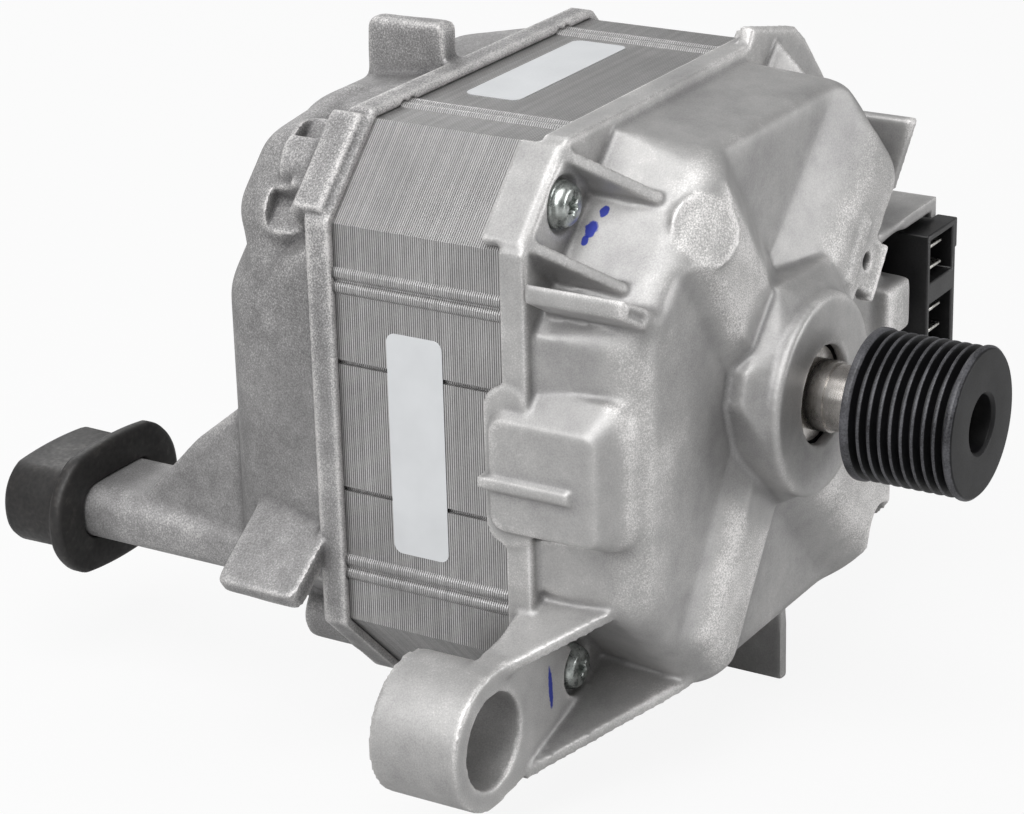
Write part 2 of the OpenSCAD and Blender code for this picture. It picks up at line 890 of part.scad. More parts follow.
shaft_end_y = pulley_y - pulley_w / 2 + shaft_recess;
pulley_back_y = pulley_y + pulley_w / 2;
front_shoulder_y = front_bearing_y + front_bearing_w / 2;
rear_shoulder_y = rear_bearing_y - rear_bearing_w / 2;

module shaft() {
  rear_end_y = rear_bearing_y + rear_bearing_w / 2 - 0.5;
  color(steel)
    at_stack()
      turned()
        polygon([[0, shaft_end_y], [shaft_pulley_r - 0.6, shaft_end_y],
          [shaft_pulley_r, shaft_end_y + 0.6], [shaft_pulley_r, pulley_back_y],
          [shaft_nose_r, pulley_back_y], [shaft_nose_r, nose_y - 2.6],
          [shaft_front_r, nose_y - 2.6], [shaft_front_r, front_shoulder_y],
          [shaft_core_r, front_shoulder_y], [shaft_core_r, rotor_len / 2 + end_disc_t],
          [shaft_rear_r + 2, rotor_len / 2 + end_disc_t + 1],
          [shaft_rear_r + 2, rear_shoulder_y], [shaft_rear_r, rear_shoulder_y],
          [shaft_rear_r, rear_end_y - 0.6], [shaft_rear_r - 0.6, rear_end_y], [0, rear_end_y]]);
}

module at_magnets() {
  magnet_x = rotor_r - magnet_t - 3;
  for (i = [0:magnet_count - 1])
    rotate(i * 360 / magnet_count)
      translate([magnet_x, 0])
        children();
}

module rotor_core() {
  color([0.5, 0.5, 0.52])
    at_stack()
      slab(-rotor_len / 2, rotor_len / 2)
        difference() {
          ring(rotor_r, shaft_core_r);
          at_magnets()
            square([magnet_t + fit, magnet_w + fit], center = true);
        }
}

module rotor_magnets() {
  color([0.25, 0.25, 0.27])
    at_stack()
      slab(-rotor_len / 2, rotor_len / 2)
        at_magnets()
          square([magnet_t, magnet_w], center = true);
}

module rotor_end_discs() {
  color([0.8, 0.8, 0.78])
    at_stack()
      for (side = [-1, 1])
        slab(side * (rotor_len + end_disc_t) / 2 - end_disc_t / 2,
          side * (rotor_len + end_disc_t) / 2 + end_disc_t / 2)
          ring(rotor_r - 0.5, shaft_core_r);
}

// Outline of the grooved pulley, from its rear face to its front face
module pulley() {
  y0 = pulley_back_y;
  rim_r = pulley_r + 0.3;
  tip = groove_pitch * 0.12;
  root = groove_pitch * 0.1;
  front = pulley_y - pulley_w / 2;
  grooves = [for (i = [0:groove_count - 1])
    let (m = y0 - pulley_rim - (i + 0.5) * groove_pitch, h = groove_pitch / 2)
      each [[pulley_r, m + h - tip], [pulley_r - groove_depth, m + root],
        [pulley_r - groove_depth, m - root], [pulley_r, m - h + tip]]];
  color([0.1, 0.1, 0.11])
    at_stack()
      turned()
        polygon(concat(
          [[shaft_pulley_r, y0], [rim_r - 0.5, y0], [rim_r, y0 - 0.5], [rim_r, y0 - pulley_rim + 0.2]],
          grooves,
          [[rim_r, front + pulley_rim - 0.2], [rim_r, front + 0.7], [rim_r - 0.7, front],
            [shaft_pulley_r + 0.8, front], [shaft_pulley_r, front + 0.8]]));
}

// Connector

plug_x = 67;
plug_top = 13;
plug_front_y = f(31);
plug_h = tab_rows * tab_pitch + 3;
blind_row = 2;

module at_tabs() {
  for (i = [0:tab_rows - 1])
    if (i != blind_row)
      translate([plug_x + (plug_w - tab_w) / 2, plug_front_y + 1.5,
        plug_top - 1.5 - (i + 0.5) * tab_pitch - tab_t / 2])
        children();
}

module connector_housing() {
  color([0.07, 0.07, 0.08])
    at_stack()
      difference() {
        union() {
          translate([plug_x, plug_front_y, plug_top - plug_h])
            cube([plug_w, plug_depth, plug_h]);
          // foot on the shield's wall
          translate([core_half + 1, plug_front_y + 12, plug_top - plug_h + 2])
            cube([plug_x - core_half - 0.5, plug_depth - 12, plug_h - 4]);
          // latch edge
          translate([plug_x + plug_w - 3, plug_front_y, plug_top - 7])
            cube([4, 5, 7]);
        }
        for (run = [[0, blind_row - 1], [blind_row + 1, tab_rows - 1]])
          translate([plug_x + 1.5, plug_front_y - 1, plug_top - 1.5 - (run[1] + 1) * tab_pitch])
            cube([plug_w - 3, 12, (run[1] - run[0] + 1) * tab_pitch]);
        at_tabs()
          translate([-fit, 0, -fit])
            cube([tab_w + 2 * fit, plug_depth - 4 + fit, tab_t + 2 * fit]);
      }
}

module connector_tabs() {
  color([0.82, 0.82, 0.8])
    at_stack()
      at_tabs()
        cube([tab_w, plug_depth - 4, tab_t]);
}

// Rubber bush on the rear arm

module bush_outline(grow) {
  rounded_rect(arm_w + 2 * (bush_wall + grow) + 2, arm_h + 2 * (bush_wall + grow),
    arm_h / 2 + bush_wall + grow - 0.5);
}

module mount_bush() {
  collar_y = back_y + arm_len - bush_len + 2.5;
  color([0.12, 0.12, 0.12])
    at_stack()
      translate([-arm_x, 0, -arm_z])
        difference() {
          union() {
            slab(collar_y, collar_y + bush_len)
              bush_outline(0);
            slab(collar_y, collar_y + collar_t)
              bush_outline(collar_h);
          }
          slab(collar_y - 1, back_y + arm_len)
            rounded_rect(arm_w, arm_h, 5);
        }
}

// Labels, left bare

module side_label() {
  color([0.93, 0.93, 0.92])
    at_stack()
      translate([-core_half, 1.5, -1.7])
        rotate([0, -90, 0])
          linear_extrude(height = 0.15)
            rounded_rect(side_label_len, label_w, 2);
}

module top_label() {
  color([0.93, 0.93, 0.92])
    at_stack()
      translate([3, 7, core_half])
        linear_extrude(height = 0.15)
          rounded_rect(top_label_len, label_w, 2);
}

stator_core();
front_slot_insulator();
rear_slot_insulator();
stator_windings();
front_shield();
rear_shield();
through_bolts();
front_bearing_outer_ring();
rear_bearing_outer_ring();
front_bearing_seals();
rear_bearing_seals();
wave_washer();
connector_housing();
connector_tabs();
mount_bush();
side_label();
top_label();
shaft();
rotor_core();
rotor_magnets();
rotor_end_discs();
front_bearing_inner_ring();
rear_bearing_inner_ring();
pulley();
front_bearing_balls();
front_bearing_cage();
rear_bearing_balls();
rear_bearing_cage();
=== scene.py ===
import bpy
import bmesh
import math
import numpy as np
from mathutils import Matrix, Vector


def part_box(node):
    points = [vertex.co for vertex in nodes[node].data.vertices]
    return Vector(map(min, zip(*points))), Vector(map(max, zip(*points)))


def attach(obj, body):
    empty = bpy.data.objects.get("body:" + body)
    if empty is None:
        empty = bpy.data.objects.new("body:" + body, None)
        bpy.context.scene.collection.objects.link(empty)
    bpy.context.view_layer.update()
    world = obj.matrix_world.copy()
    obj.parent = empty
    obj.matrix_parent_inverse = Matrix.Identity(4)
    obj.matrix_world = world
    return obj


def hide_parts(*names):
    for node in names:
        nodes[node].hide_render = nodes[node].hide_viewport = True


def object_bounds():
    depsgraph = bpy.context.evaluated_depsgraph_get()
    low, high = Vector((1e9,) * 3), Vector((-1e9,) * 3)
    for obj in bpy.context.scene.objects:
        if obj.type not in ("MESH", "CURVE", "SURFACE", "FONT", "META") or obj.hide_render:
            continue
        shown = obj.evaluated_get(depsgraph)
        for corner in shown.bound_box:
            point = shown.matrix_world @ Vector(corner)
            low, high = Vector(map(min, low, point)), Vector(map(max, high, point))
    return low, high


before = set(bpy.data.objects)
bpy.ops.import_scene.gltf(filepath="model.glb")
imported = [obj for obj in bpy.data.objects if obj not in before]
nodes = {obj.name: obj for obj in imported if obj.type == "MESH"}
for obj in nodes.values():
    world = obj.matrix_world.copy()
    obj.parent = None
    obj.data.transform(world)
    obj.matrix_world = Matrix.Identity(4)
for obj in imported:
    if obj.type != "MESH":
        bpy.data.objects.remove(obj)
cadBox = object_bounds()
mm = 0.001
mergeReach = 1e-6  # points closer than this, in metres, are one
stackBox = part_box("stator_core")
stackMiddle = (stackBox[0].y + stackBox[1].y) / 2  # the middle of the iron stack, along the shaft
print("frame loaded,", len(nodes), "nodes")


# sRGB hex to the linear colour that a shader socket takes
def linearOf(hexColour):
    parts = np.array([int(hexColour[i:i + 2], 16) / 255 for i in (1, 3, 5)])
    linear = np.where(parts <= 0.04045, parts / 12.92, ((parts + 0.055) / 1.055) ** 2.4)
    return (*[float(c) for c in linear], 1.0)


# adds one node; inputs take a value, or another node's output, which is then linked
def addNode(tree, kind, inputs=None, **settings):
    node = tree.nodes.new(kind)
    for key, value in settings.items():
        setattr(node, key, value)
    for key, value in (inputs or {}).items():
        if isinstance(value, bpy.types.NodeSocket):
            tree.links.new(value, node.inputs[key])
        else:
            node.inputs[key].default_value = value
    return node


# a ramp from a list of (place, hex colour)
def addRamp(tree, factor, stops):
    node = addNode(tree, "ShaderNodeValToRGB", {"Fac": factor})
    ramp = node.color_ramp
    while len(ramp.elements) < len(stops):
        ramp.elements.new(0.5)
    for element, (place, hexColour) in zip(ramp.elements, stops):
        element.position = place
        element.color = linearOf(hexColour)
    return node.outputs["Color"]


# value spread from the range (low, high) to (outLow, outHigh)
def spread(tree, value, low, high, outLow=0.0, outHigh=1.0):
    node = addNode(tree, "ShaderNodeMapRange", {"Value": value, "From Min": low, "From Max": high,
                                                "To Min": outLow, "To Max": outHigh})
    return node.outputs["Result"]


noiseBand = (0.3, 0.7)  # where nearly all values of a noise lie


# noise spread round zero, from -0.5 to 0.5
def centred(tree, noise):
    return spread(tree, noise, *noiseBand, -0.5, 0.5)


# one step of arithmetic on the inputs, in their order
def compute(tree, operation, *inputs):
    return addNode(tree, "ShaderNodeMath", dict(enumerate(inputs)), operation=operation).outputs[0]


# value times share, on top of an earlier total
def addShare(tree, value, share, total):
    return compute(tree, "MULTIPLY_ADD", value, share, total)


# distance of a place from the shaft axis
def shaftRadius(tree, place):
    parts = addNode(tree, "ShaderNodeSeparateXYZ", {"Vector": place}).outputs
    flat = addNode(tree, "ShaderNodeCombineXYZ", {"X": parts["X"], "Z": parts["Z"]}).outputs[0]
    return addNode(tree, "ShaderNodeVectorMath", {0: flat}, operation="LENGTH").outputs["Value"]


# mix of two colours by a factor
def mixColours(tree, factor, first, second):
    return addNode(tree, "ShaderNodeMix", {"Factor": factor, "A": first, "B": second},
                   data_type="RGBA").outputs["Result"]


# a material with its tree cleared, its shader, and the place in the object's own coordinates
def startMaterial(name):
    material = bpy.data.materials.new(name)
    material.use_nodes = True
    tree = material.node_tree
    tree.nodes.clear()
    shader = addNode(tree, "ShaderNodeBsdfPrincipled")
    output = addNode(tree, "ShaderNodeOutputMaterial")
    tree.links.new(shader.outputs["BSDF"], output.inputs["Surface"])
    place = addNode(tree, "ShaderNodeTexCoord").outputs["Object"]
    return material, tree, shader, place


# noise whose grains are about grainMm across
def grainNoise(tree, place, grainMm, detail=2.0, roughness=0.5):
    return addNode(tree, "ShaderNodeTexNoise", {"Vector": place, "Scale": 1 / (grainMm * mm),
                                                "Detail": detail, "Roughness": roughness}).outputs["Fac"]


# links colour, roughness and normal to the shader, and sets its constants
def dressShader(tree, shader, colour, roughness, normal, constants):
    for socket, value in (("Base Color", colour), ("Roughness", roughness), ("Normal", normal)):
        tree.links.new(value, shader.inputs[socket])
    for socket, value in constants.items():
        shader.inputs[socket].default_value = value


# bump of heightMm on top of an earlier normal
def addBump(tree, height, heightMm, strength, normal=None):
    inputs = {"Height": height, "Distance": heightMm * mm, "Strength": strength}
    if normal is not None:
        inputs["Normal"] = normal
    return addNode(tree, "ShaderNodeBump", inputs).outputs["Normal"]


# Die-cast aluminium, shot-blasted and tumbled: a matt grey skin with a fine bright sparkle and cloudy stains
# from the die spray;
# edges painted lighter (partly rubbed wear, partly painted highlight), inner corners painted darker as
# painted shade, and the blasted fields painted lighter as a painted highlight
def castAluminium(name, values):
    material, tree, shader, place = startMaterial(name)
    speckle = grainNoise(tree, place, values["speckleMm"], 2.0, 0.6)
    flow = grainNoise(tree, place, values["flowMm"], 4.0, 0.6)
    cloud = grainNoise(tree, place, values["cloudMm"], 3.0, 0.55)
    edge = addNode(tree, "ShaderNodeAttribute", attribute_name="edge").outputs["Fac"]
    blastedAndHighlight = addNode(tree, "ShaderNodeAttribute", attribute_name="blastedAndHighlight").outputs["Fac"]
    sparkle = spread(tree, blastedAndHighlight, 0, 1, values["smoothSpeckle"], 1.0)  # sunk fields stay smoother
    specklePart = compute(tree, "MULTIPLY", centred(tree, speckle), sparkle)
    total = addShare(tree, centred(tree, cloud), values["cloudShare"], 0.5)
    total = addShare(tree, specklePart, values["speckleShare"], total)
    total = addShare(tree, centred(tree, flow), values["flowShare"], total)
    # edge: painted highlight on the edges, partly rubbed wear, and painted shade in the inner corners
    total = addShare(tree, edge, values["edgeShare"], total)
    # painted highlight: the blasted fields made lighter in colour
    total = addShare(tree, blastedAndHighlight, values["blastedHighlightShare"], total)
    colour = penStrokes(tree, place, addRamp(tree, total, values["colours"]), values["strokes"])
    normal = addBump(tree, speckle, values["speckleBumpMm"], values["bump"])
    normal = addBump(tree, flow, values["flowBumpMm"], values["bump"], normal)
    dressShader(tree, shader, colour, spread(tree, blastedAndHighlight, 0, 1, *values["roughness"]), normal,
                {"Metallic": values["metallic"]})
    return material


# pen dabs in mm: middle, half sizes, and turn in degrees; beside the upper left and lower left bolts
penDabs = [((-38.8, 51.9, 46.6), (1.4, 1.0, 1.4), (0, 0, 0)),
           ((-42.0, 53.2, 43.6), (1.9, 1.4, 1.9), (0, 0, 0)),
           ((-43.8, 53.6, 41.8), (1.1, 0.8, 1.1), (0, 0, 0)),
           ((-58.1, 55.0, -49.0), (0.8, 1.0, 5.0), (0, 4, 0))]
penValues = dict(colour="#1E2F92", raggedMm=1.2, raggedShare=0.7, fade=(1.2, 1.4), cover=0.95)


# Marking pen of the assembly line: short blue dabs, each an ellipsoid with a ragged edge
def penStrokes(tree, place, colour, strokes):
    for middle, size, turn in strokes:
        near = place
        for key, vector in (("Location", [-c * mm for c in middle]),
                            ("Rotation", [math.radians(t) for t in turn]),
                            ("Scale", [1 / (s * mm) for s in size])):
            near = addNode(tree, "ShaderNodeMapping", {"Vector": near, key: vector},
                           vector_type="POINT").outputs[0]
        reach = addNode(tree, "ShaderNodeVectorMath", {0: near}, operation="LENGTH").outputs["Value"]
        ragged = grainNoise(tree, place, penValues["raggedMm"])
        reach = addShare(tree, ragged, penValues["raggedShare"], reach)
        mask = spread(tree, reach, *penValues["fade"], penValues["cover"], 0.0)
        colour = mixColours(tree, mask, colour, linearOf(penValues["colour"]))
    return colour


frontCastValues = dict(
    speckleMm=0.32, flowMm=4.0, cloudMm=22.0, speckleShare=0.46, flowShare=0.12, cloudShare=0.28,
    # the edge share paints highlight on edges and shade in inner corners; the blasted share paints a
    # highlight on the blasted fields
    edgeShare=0.22, blastedHighlightShare=0.28, smoothSpeckle=0.3,
    colours=[(0.0, "#787777"), (0.4, "#9A9999"), (0.7, "#B6B5B4"), (1.0, "#EAE8E7")],
    roughness=(0.50, 0.66), metallic=0.66, speckleBumpMm=0.035, flowBumpMm=0.03, bump=0.7, strokes=penDabs)

rearCastValues = dict(
    speckleMm=0.36, flowMm=3.0, cloudMm=20.0, speckleShare=0.58, flowShare=0.15, cloudShare=0.22,
    # the edge share paints highlight on edges and shade in inner corners; the blasted share paints a
    # highlight on the blasted fields
    edgeShare=0.34, blastedHighlightShare=0.03, smoothSpeckle=0.5,
    colours=[(0.0, "#5C5B5C"), (0.4, "#828181"), (0.65, "#9B9A9A"), (1.0, "#D4D2D1")],
    roughness=(0.56, 0.68), metallic=0.62, speckleBumpMm=0.05, flowBumpMm=0.04, bump=0.8, strokes=[])

sheetValues = dict(
    sheetMm=0.5, stainMm=14.0, scratchMm=0.6, varnish="#3E3C3A", varnishBand=(0.24, 0.46), varnishShare=0.9,
    ownShare=0.16, stainShare=0.22, scratchShare=0.12, middle=0.42, ownHeight=0.3, bumpMm=0.10, bump=0.8,
    colours=[(0.0, "#838282"), (0.45, "#B4B3B3"), (0.75, "#D0CFCF"), (1.0, "#EBEAEA")],
    roughness=(0.48, 0.30), roughBand=(0.1, 0.9), metallic=0.8)


# Electrical steel, punched and stacked: sheets of 0.5 mm whose cut edges differ a little in
# brightness and height, with dark lines of varnish between them, cloudy stains and fine scratches
def laminatedSteel(name, values):
    material, tree, shader, place = startMaterial(name)
    along = addNode(tree, "ShaderNodeSeparateXYZ", {"Vector": place}).outputs["Y"]
    sheets = compute(tree, "MULTIPLY", along, 1 / (values["sheetMm"] * mm))
    sheet, within = compute(tree, "FLOOR", sheets), compute(tree, "FRACT", sheets)
    own = addNode(tree, "ShaderNodeTexWhiteNoise", {"W": sheet}, noise_dimensions="1D").outputs["Value"]
    fromMiddle = compute(tree, "ABSOLUTE", compute(tree, "SUBTRACT", within, 0.5))
    line = spread(tree, fromMiddle, *values["varnishBand"])
    stain = grainNoise(tree, place, values["stainMm"], 5.0, 0.6)
    scratch = grainNoise(tree, place, values["scratchMm"])
    total = addShare(tree, own, values["ownShare"], values["middle"])
    total = addShare(tree, centred(tree, stain), values["stainShare"], total)
    total = addShare(tree, centred(tree, scratch), values["scratchShare"], total)
    cover = spread(tree, line, 0, 1, 0.0, values["varnishShare"])
    colour = mixColours(tree, cover, addRamp(tree, total, values["colours"]), linearOf(values["varnish"]))
    height = addShare(tree, own, values["ownHeight"], spread(tree, line, 0, 1, 1, 0))
    dressShader(tree, shader, colour, spread(tree, total, *values["roughBand"], *values["roughness"]),
                addBump(tree, height, values["bumpMm"], values["bump"]), {"Metallic": values["metallic"]})
    return material


groundSteelValues = dict(
    stretch=(0.02, 1.0, 0.02), ringMm=0.35, ringShare=0.45, middle=0.28, filmMm=3.5, filmSpread=(-0.2, 0.2),
    colours=[(0.2, "#8E8A86"), (0.5, "#B9B5B1"), (0.8, "#DDDAD6")], roughness=(0.34, 0.18),
    roughBand=(0.2, 0.8), bumpMm=0.01, bump=0.5)


# Ground bearing steel: bright, with fine grinding rings round the axis and a film of oil
def groundSteel(name, values):
    material, tree, shader, place = startMaterial(name)
    stretched = addNode(tree, "ShaderNodeMapping", {"Vector": place, "Scale": values["stretch"]}).outputs[0]
    rings = grainNoise(tree, stretched, values["ringMm"])
    film = grainNoise(tree, place, values["filmMm"], 4.0)
    total = addShare(tree, rings, values["ringShare"], values["middle"])
    total = addShare(tree, spread(tree, film, *noiseBand, *values["filmSpread"]), 1.0, total)
    dressShader(tree, shader, addRamp(tree, total, values["colours"]),
                spread(tree, total, *values["roughBand"], *values["roughness"]),
                addBump(tree, rings, values["bumpMm"], values["bump"]), {"Metallic": 1.0})
    return material


plateValues = dict(pitMm=0.35, pitShare=0.5, start=-0.05, cloudShare=0.6, roughness=(0.2, 0.42),
                   bumpMm=0.02, bump=0.6)
zincValues = dict(plateValues, cloudMm=1.8, colours=[(0.1, "#7F8583"), (0.5, "#B4B9B6"), (0.85, "#DDE1DE")])
tinValues = dict(plateValues, cloudMm=1.0, colours=[(0.1, "#A8A6A0"), (0.5, "#CFCDC8"), (0.85, "#EEECE8")])


# Zinc or tin plating: a thin bright coat, cloudy, with fine dull pits
def platedMetal(name, values):
    material, tree, shader, place = startMaterial(name)
    cloud = grainNoise(tree, place, values["cloudMm"], 4.0, 0.6)
    pits = grainNoise(tree, place, values["pitMm"])
    total = addShare(tree, pits, values["pitShare"], values["start"])
    total = addShare(tree, spread(tree, cloud, *noiseBand), values["cloudShare"], total)
    dressShader(tree, shader, addRamp(tree, total, values["colours"]),
                spread(tree, cloud, *noiseBand, *values["roughness"]),
                addBump(tree, pits, values["bumpMm"], values["bump"]), {"Metallic": 1.0})
    return material


oxideValues = dict(
    crestMm=15.55, crestFadeMm=0.25, crestHighlightShare=0.6, grainMm=0.4, cloudMm=6.0, cloudShare=0.35,
    grainSpread=(-0.15, 0.15), colours=[(0.0, "#09090A"), (0.5, "#17171A"), (1.0, "#58585C")],
    roughness=(0.48, 0.38), roughBand=(0.0, 0.9), metallic=0.1, specular=0.36, bumpMm=0.012, bump=0.5)


# Black oxide on turned steel: a satin, almost blue black, painted lighter grey on the crests of the ribs and
# the rims, partly wear and partly a painted highlight
def blackOxide(name, values):
    material, tree, shader, place = startMaterial(name)
    grain = grainNoise(tree, place, values["grainMm"])
    cloud = grainNoise(tree, place, values["cloudMm"], 4.0)
    # painted highlight, partly wear: lighter grey where the radius reaches the rib crests and rims
    crest = spread(tree, shaftRadius(tree, place), (values["crestMm"] - values["crestFadeMm"]) * mm,
                   values["crestMm"] * mm, 0.0, values["crestHighlightShare"])
    total = addShare(tree, spread(tree, cloud, *noiseBand), values["cloudShare"], crest)
    total = addShare(tree, spread(tree, grain, *noiseBand, *values["grainSpread"]), 1.0, total)
    dressShader(tree, shader, addRamp(tree, total, values["colours"]),
                spread(tree, total, *values["roughBand"], *values["roughness"]),
                addBump(tree, grain, values["bumpMm"], values["bump"]),
                {"Metallic": values["metallic"], "Specular IOR Level": values["specular"]})
    return material


polymerValues = dict(cloudBand=(0.35, 0.75), bump=0.7)


# Moulded plastic or rubber: even in colour, with the fine spark-eroded grain of the mould; the dull
# coat of the magnets is made alike
def mouldedPolymer(name, values):
    material, tree, shader, place = startMaterial(name)
    grain = grainNoise(tree, place, values["grainMm"])
    cloud = grainNoise(tree, place, values["cloudMm"], 4.0, 0.6)
    total = addShare(tree, spread(tree, grain, *noiseBand), values["grainShare"], 0.0)
    total = addShare(tree, spread(tree, cloud, *values["cloudBand"]), 1 - values["grainShare"], total)
    dressShader(tree, shader, addRamp(tree, total, values["colours"]),
                spread(tree, total, 0.0, 1.0, *values["roughness"]),
                addBump(tree, grain, values["bumpMm"], values["bump"]), {"IOR": values["ior"]})
    return material


copperValues = dict(
    turnMm=0.9, toneMm=2.0, colours=[(0.3, "#7A3F1C"), (0.7, "#B46A34")], roughness=(0.45, 0.25),
    metallic=0.85, bumpMm=0.25, bump=0.8)


# Enamelled copper wire, wound in close turns: the turns are waves over the distance from the shaft
def enamelledCopper(name, values):
    material, tree, shader, place = startMaterial(name)
    turns = compute(tree, "MULTIPLY", shaftRadius(tree, place), 2 * math.pi / (values["turnMm"] * mm))
    wave = compute(tree, "SINE", turns)
    tone = grainNoise(tree, place, values["toneMm"], 3.0)
    dressShader(tree, shader, addRamp(tree, tone, values["colours"]),
                spread(tree, wave, -1, 1, *values["roughness"]),
                addBump(tree, wave, values["bumpMm"], values["bump"]), {"Metallic": values["metallic"]})
    return material


labelValues = dict(
    cloudMm=9.0, fibreMm=0.5, colours=[(0.3, "#C2C4C6"), (0.7, "#C9CBCD")], roughness=(0.30, 0.42), ior=1.46,
    bumpMm=0.02, bump=0.4)


# White vinyl label, printed side left bare: smooth, slightly glossy, a little uneven
def vinylLabel(name, values):
    material, tree, shader, place = startMaterial(name)
    cloud = grainNoise(tree, place, values["cloudMm"], 3.0)
    fibre = grainNoise(tree, place, values["fibreMm"])
    dressShader(tree, shader, addRamp(tree, cloud, values["colours"]),
                spread(tree, fibre, *noiseBand, *values["roughness"]),
                addBump(tree, cloud, values["bumpMm"], values["bump"]), {"IOR": values["ior"]})
    return material


materials = {
    "frontCast": castAluminium("die_cast_aluminium_front", frontCastValues),
    "rearCast": castAluminium("die_cast_aluminium_rear", rearCastValues),
    "sheets": laminatedSteel("laminated_electrical_steel", sheetValues),
    "groundSteel": groundSteel("ground_bearing_steel", groundSteelValues),
    "zinc": platedMetal("zinc_plated_steel", zincValues),
    "oxide": blackOxide("black_oxide_steel", oxideValues),
    "blackPlastic": mouldedPolymer("glass_filled_nylon", dict(
        polymerValues, grainMm=0.5, cloudMm=7.0, grainShare=0.5, colours=[(0.1, "#121213"), (0.9, "#262627")],
        roughness=(0.42, 0.30), ior=1.53, bumpMm=0.015)),
    "palePlastic": mouldedPolymer("polyester_insulator", dict(
        polymerValues, grainMm=0.6, cloudMm=9.0, grainShare=0.4, colours=[(0.1, "#C9C3B3"), (0.9, "#E2DDD0")],
        roughness=(0.5, 0.38), ior=1.57, bumpMm=0.02)),
    "rubber": mouldedPolymer("natural_rubber", dict(
        polymerValues, grainMm=1.1, cloudMm=10.0, grainShare=0.45,
        colours=[(0.1, "#121111"), (0.55, "#211F1E"), (0.95, "#3C3937")],
        roughness=(0.62, 0.46), ior=1.52, bumpMm=0.05)),
    "copper": enamelledCopper("enamelled_copper_wire", copperValues),
    "magnet": mouldedPolymer("nickel_plated_magnet", dict(
        polymerValues, grainMm=0.5, cloudMm=5.0, grainShare=0.5, colours=[(0.1, "#5A5957"), (0.9, "#8B8A87")],
        roughness=(0.4, 0.3), ior=1.5, bumpMm=0.01)),
    "label": vinylLabel("white_vinyl", labelValues),
    "tin": platedMetal("tin_plated_brass", tinValues),
}
print("materials made:", len(materials))

nodeFinish = {
    "sheets": ["stator_core", "rotor_core"],
    "palePlastic": ["front_slot_insulator", "rear_slot_insulator"],
    "copper": ["stator_windings"],
    "zinc": ["through_bolts", "rotor_end_discs"],
    "groundSteel": ["front_bearing_outer_ring", "rear_bearing_outer_ring", "front_bearing_inner_ring",
                    "rear_bearing_inner_ring", "front_bearing_balls", "rear_bearing_balls", "wave_washer",
                    "shaft"],
    "blackPlastic": ["front_bearing_cage", "rear_bearing_cage", "connector_housing"],
    "rubber": ["front_bearing_seals", "rear_bearing_seals", "mount_bush"],
    "magnet": ["rotor_magnets"],
    "label": ["side_label", "top_label"],
    "oxide": ["pulley"],
    "tin": ["connector_tabs"],
    "frontCast": ["front_shield"],
    "rearCast": ["rear_shield"],
}
for finish, names in nodeFinish.items():
    for name in names:
        nodes[name].data.materials.clear()
        nodes[name].data.materials.append(materials[finish])


# links a mesh as a piece of a body that takes the place of CAD nodes
def placePiece(name, mesh, finish, body, replaced):
    piece = bpy.data.objects.new(name, mesh)
    bpy.context.scene.collection.objects.link(piece)
    mesh.materials.clear()
    mesh.materials.append(materials[finish])
    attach(piece, body)
    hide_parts(*replaced)
    return piece


# mesh from grids of points, each of shape rows x columns x 3, closed round the columns; a row
# whose points fall together closes a pole, and rows of different grids that meet are joined
def meshOfGrids(name, grids, smoothAngle, wrapRows=False):
    allPoints, allFaces, start = [], [], 0
    for points in grids:
        rows, columns = points.shape[:2]
        row = np.arange(rows if wrapRows else rows - 1)[:, None]
        column = np.arange(columns)[None, :]
        nextRow, nextColumn = (row + 1) % rows, (column + 1) % columns
        corners = [row * columns + column, row * columns + nextColumn,
                   nextRow * columns + nextColumn, nextRow * columns + column]
        allFaces.append(start + np.stack([c.ravel() for c in np.broadcast_arrays(*corners)], axis=1))
        allPoints.append(points.reshape(-1, 3))
        start += rows * columns
    mesh = bpy.data.meshes.new(name)
    mesh.from_pydata(np.concatenate(allPoints).tolist(), [], np.concatenate(allFaces).tolist())
    tidy = bmesh.new()
    tidy.from_mesh(mesh)
    bmesh.ops.remove_doubles(tidy, verts=tidy.verts, dist=mergeReach)
    bmesh.ops.recalc_face_normals(tidy, faces=tidy.faces)
    tidy.to_mesh(mesh)
    tidy.free()
    shadeByAngle(mesh, smoothAngle)
    return mesh


def shadeByAngle(mesh, degrees):
    mesh.polygons.foreach_set("use_smooth", np.ones(len(mesh.polygons), bool))
    mesh.set_sharp_from_angle(angle=math.radians(degrees))


# rounds the corners of a profile: each corner gives way to points on a quadratic curve between
# the two points that lie radius away from it along its sides,
# (1 - t)^2 first + 2 t (1 - t) corner + t^2 last
def roundedProfile(profile, radius, steps=4):
    before, after = np.roll(profile, 1, axis=0), np.roll(profile, -1, axis=0)
    toBefore, toAfter = before - profile, after - profile
    lengthBefore = np.maximum(np.linalg.norm(toBefore, axis=1), 1e-9)
    lengthAfter = np.maximum(np.linalg.norm(toAfter, axis=1), 1e-9)
    most = 0.45  # of a side, so that the cuts of both its ends never meet
    cutBefore = np.minimum(radius, most * lengthBefore)
    cutAfter = np.minimum(radius, most * lengthAfter)
    first = profile + toBefore * (cutBefore / lengthBefore)[:, None]
    last = profile + toAfter * (cutAfter / lengthAfter)[:, None]
    share = np.linspace(0, 1, steps)[None, :, None]
    curve = ((1 - share) ** 2 * first[:, None] + 2 * share * (1 - share) * profile[:, None]
             + share ** 2 * last[:, None])
    return curve.reshape(-1, 2)


# profile of (radius, place along the shaft) in mm, turned round the shaft: x = r sin a, z = r cos a
def turnedGrid(profile, columns=192):
    angle = np.linspace(0, 2 * math.pi, columns, endpoint=False)
    points = np.empty((len(profile), columns, 3))
    points[..., 0] = profile[:, :1] * np.sin(angle)
    points[..., 1] = profile[:, 1:2]
    points[..., 2] = profile[:, :1] * np.cos(angle)
    return points * mm


